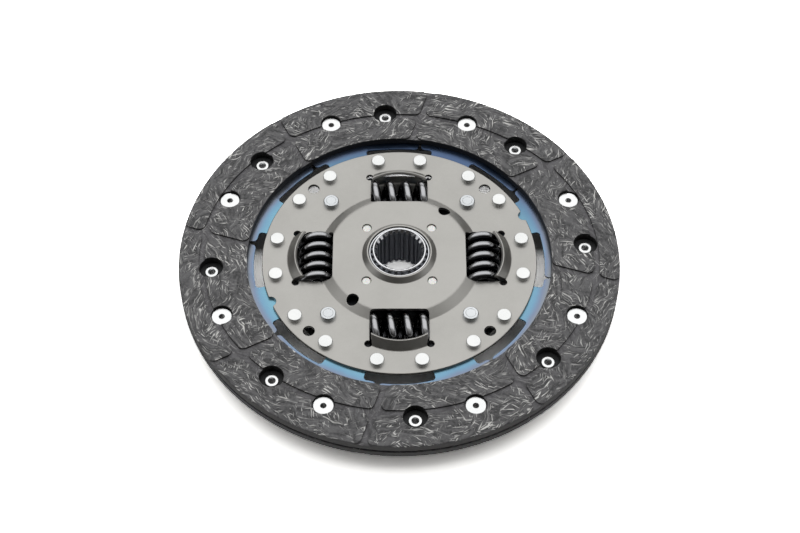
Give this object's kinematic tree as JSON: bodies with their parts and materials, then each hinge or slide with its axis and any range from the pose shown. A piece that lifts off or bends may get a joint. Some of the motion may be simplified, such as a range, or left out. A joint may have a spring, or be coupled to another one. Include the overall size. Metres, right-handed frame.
{
  "type": "clutch disc",
  "caption": "Dry clutch disc with grooved friction facings on spring segments and a splined hub that twists against coil springs in the windows of two riveted plates.",
  "frame": {"origin": "on the axis of the splined bore, in the middle plane between the two friction faces", "axes": "+Z along the axis, towards the side of the main plate and its rivet heads; +Y towards the spring window at the top of the picture"},
  "size_m": [0.2, 0.2, 0.0237],
  "materials": {
    "friction_lining": "matte, with short pale fibres",
    "rivet_steel": "bright",
    "blued_steel": "heat-blued",
    "plate_steel": "satin",
    "hub_steel": "machined",
    "black_spring": "gloss black",
    "white_nylon": "matte",
    "dark_spring_steel": "oiled"
  },
  "bodies": {
    "disc": {"front_facing": "friction_lining", "rear_facing": "friction_lining", "front_facing_rivets": "rivet_steel", "rear_facing_rivets": "rivet_steel", "cushion_segment_1": "blued_steel", "cushion_segment_2": "blued_steel", "cushion_segment_3": "blued_steel", "cushion_segment_4": "blued_steel", "cushion_segment_5": "blued_steel", "cushion_segment_6": "blued_steel", "cushion_segment_7": "blued_steel", "cushion_segment_8": "blued_steel", "segment_rivets": "rivet_steel", "front_plate": "plate_steel", "rear_plate": "plate_steel", "stop_pins": "rivet_steel", "centring_bush": "plate_steel", "front_friction_ring": "white_nylon", "rear_friction_ring": "white_nylon", "pressure_washer": "plate_steel", "disc_spring": "dark_spring_steel"},
    "hub": {"hub": "hub_steel", "hub_flange": "hub_steel"},
    "springs": {"damper_spring_1": "black_spring", "damper_spring_2": "black_spring", "damper_spring_3": "black_spring", "damper_spring_4": "black_spring"}
  },
  "joints": [
    {"name": "hub_twist", "type": "hinge", "parent": "disc", "child": "hub", "pos_m": [0, 0, 0], "axis": [0, 0, 1], "range_deg": [-8, 8], "stiffness_Nm_per_rad": 600, "deforming": ["damper_spring_1", "damper_spring_2", "damper_spring_3", "damper_spring_4"]},
    {"name": "spring_shift", "type": "hinge", "parent": "disc", "child": "springs", "pos_m": [0, 0, 0], "axis": [0, 0, 1], "range_deg": [-4, 4]}
  ],
  "couplings": [
    {"joint": "spring_shift", "follows": "hub_twist", "ratio": 0.5}
  ]
}
